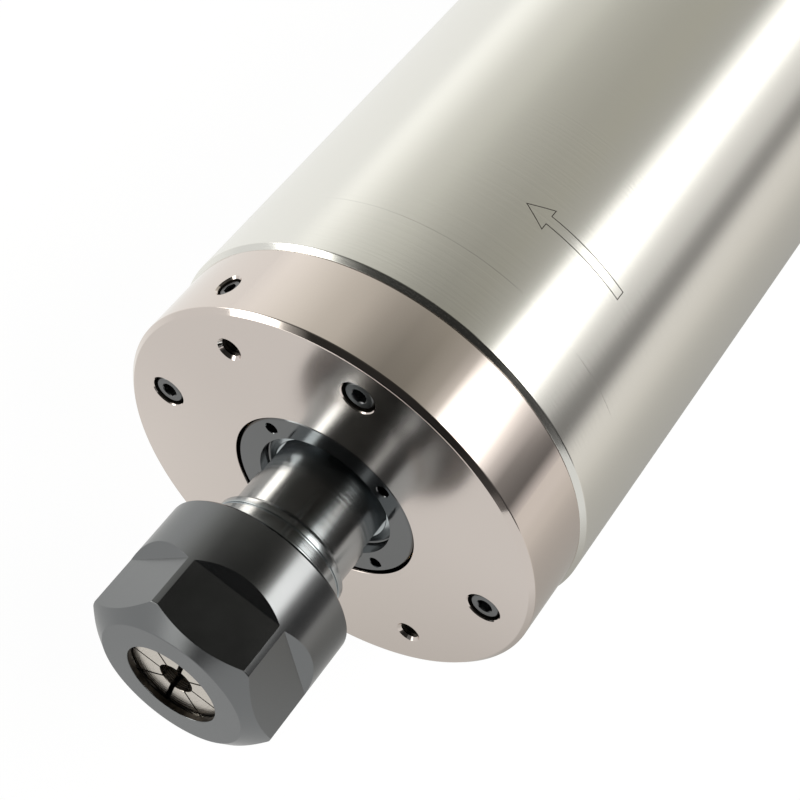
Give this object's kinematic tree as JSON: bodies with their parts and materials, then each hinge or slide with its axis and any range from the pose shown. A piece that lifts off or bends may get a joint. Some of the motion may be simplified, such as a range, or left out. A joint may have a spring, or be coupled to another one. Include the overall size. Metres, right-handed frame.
{
  "type": "motor spindle",
  "caption": "Water-cooled motor spindle: a tube with a motor inside drives a shaft on ball bearings, whose nose grips a tool's shank with a slit collet and a collet nut.",
  "frame": {"origin": "centre of the front cover's face, on the spindle's axis", "axes": "+Y along the axis, from the nose towards the rear end; X and Z pass through the screws of the front cover"},
  "size_m": [0.08, 0.2763, 0.08],
  "materials": {
    "ground_steel": "finely turned stainless tube",
    "turned_steel": "satin turned steel",
    "black_steel": "black oxide",
    "polished_steel": "ground and polished steel",
    "collet_steel": "ground spring steel",
    "bearing_steel": "lapped bearing steel",
    "plain_steel": "ground steel",
    "cast_aluminium": "machined aluminium",
    "core_iron": "stacked sheet iron",
    "copper": "enamelled copper",
    "brass": "machined brass",
    "nickel": "nickel plate",
    "rubber": "black rubber",
    "black_plastic": "moulded plastic",
    "wire_skin": "wire insulation"
  },
  "bodies": {
    "housing": {"outer_tube": "ground_steel", "front_cover": "turned_steel", "front_cover_screws": "black_steel", "side_plug_screw": "black_steel", "front_cover_seal": "rubber", "water_jacket": "cast_aluminium", "stator_core": "core_iron", "stator_windings": "copper", "lead_wires": "wire_skin", "front_outer_rings": "bearing_steel", "front_outer_spacer": "plain_steel", "bearing_clamp_ring": "plain_steel", "clamp_ring_screws": "black_steel", "rear_carrier": "cast_aluminium", "carrier_seal": "rubber", "preload_springs": "plain_steel", "rear_outer_rings": "bearing_steel", "rear_outer_spacer": "plain_steel", "rear_cover": "turned_steel", "rear_cover_screws": "black_steel", "rear_cover_seal": "rubber", "hose_fittings": "nickel", "fitting_washers": "copper", "socket_shell": "nickel", "socket_insulator": "black_plastic", "socket_pins": "brass"},
    "rotor": {"shaft": "polished_steel", "lock_ring": "black_steel", "front_inner_rings": "bearing_steel", "front_inner_spacer": "plain_steel", "front_balance_ring": "brass", "rotor_core": "core_iron", "rotor_end_rings": "cast_aluminium", "rear_balance_ring": "brass", "rear_inner_rings": "bearing_steel", "rear_inner_spacer": "plain_steel", "rear_lock_nut": "black_steel"},
    "front_cage_set": {"front_balls": "bearing_steel", "front_cages": "brass"},
    "rear_cage_set": {"rear_balls": "bearing_steel", "rear_cages": "brass"},
    "collet": {"collet": "collet_steel"},
    "nut": {"collet_nut": "black_steel", "extraction_ring": "plain_steel"}
  },
  "joints": [
    {"name": "spindle_spin", "type": "hinge", "parent": "housing", "child": "rotor", "pos_m": [0, 0, 0], "axis": [0, -1, 0], "continuous": true},
    {"name": "front_cage_spin", "type": "hinge", "parent": "housing", "child": "front_cage_set", "pos_m": [0, 0.0231, 0], "axis": [0, -1, 0], "continuous": true},
    {"name": "rear_cage_spin", "type": "hinge", "parent": "housing", "child": "rear_cage_set", "pos_m": [0, 0.183, 0], "axis": [0, -1, 0], "continuous": true},
    {"name": "collet_slide", "type": "slide", "parent": "rotor", "child": "collet", "axis": [0, -1, 0], "range_m": [0, 0.0135]},
    {"name": "nut_turn", "type": "hinge", "parent": "collet", "child": "nut", "pos_m": [0, -0.0297, 0], "axis": [0, -1, 0], "range_deg": [0, 3241]}
  ],
  "couplings": [
    {"joint": "front_cage_spin", "follows": "spindle_spin", "ratio": 0.4118},
    {"joint": "rear_cage_spin", "follows": "spindle_spin", "ratio": 0.3987},
    {"joint": "nut_turn", "follows": "collet_slide", "rad_per_m": 4188.8}
  ]
}
